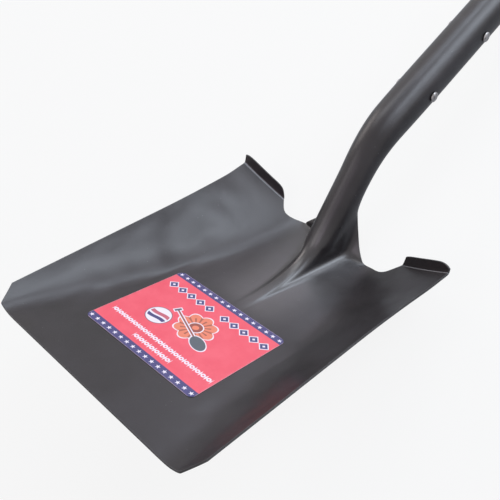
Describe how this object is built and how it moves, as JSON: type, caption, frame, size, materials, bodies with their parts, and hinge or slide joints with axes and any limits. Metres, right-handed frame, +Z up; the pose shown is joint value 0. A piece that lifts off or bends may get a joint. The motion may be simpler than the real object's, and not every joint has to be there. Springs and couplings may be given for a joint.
{
  "type": "square mouth shovel",
  "caption": "Square mouth shovel with a pressed black steel pan, forward steps, a cranked rolled socket, an ash shaft and a D grip.",
  "frame": {"origin": "bottom centre of the bounding box, with the shovel lying face up on its blade heel and its grip", "axes": "+Y along the tool from the mouth to the grip, +Z up, +X to the right seen from the mouth looking along +Y"},
  "size_m": [0.25, 1.0496, 0.1799],
  "materials": {
    "black_steel": "satin black powder coat",
    "bright_steel": "dull zinc",
    "ash_wood": "clear varnish",
    "label_print": "glossy printed film"
  },
  "bodies": {
    "root": {"blade_pressing": "black_steel", "label": "label_print", "shaft": "ash_wood", "yoke_front": "black_steel", "yoke_back": "black_steel", "cross_grip": "ash_wood", "grip_pin": "bright_steel", "socket_rivet_lower": "bright_steel", "socket_rivet_upper": "bright_steel", "yoke_rivet_lower": "bright_steel", "yoke_rivet_upper": "bright_steel", "arm_rivet_left": "bright_steel", "arm_rivet_right": "bright_steel"}
  },
  "joints": []
}
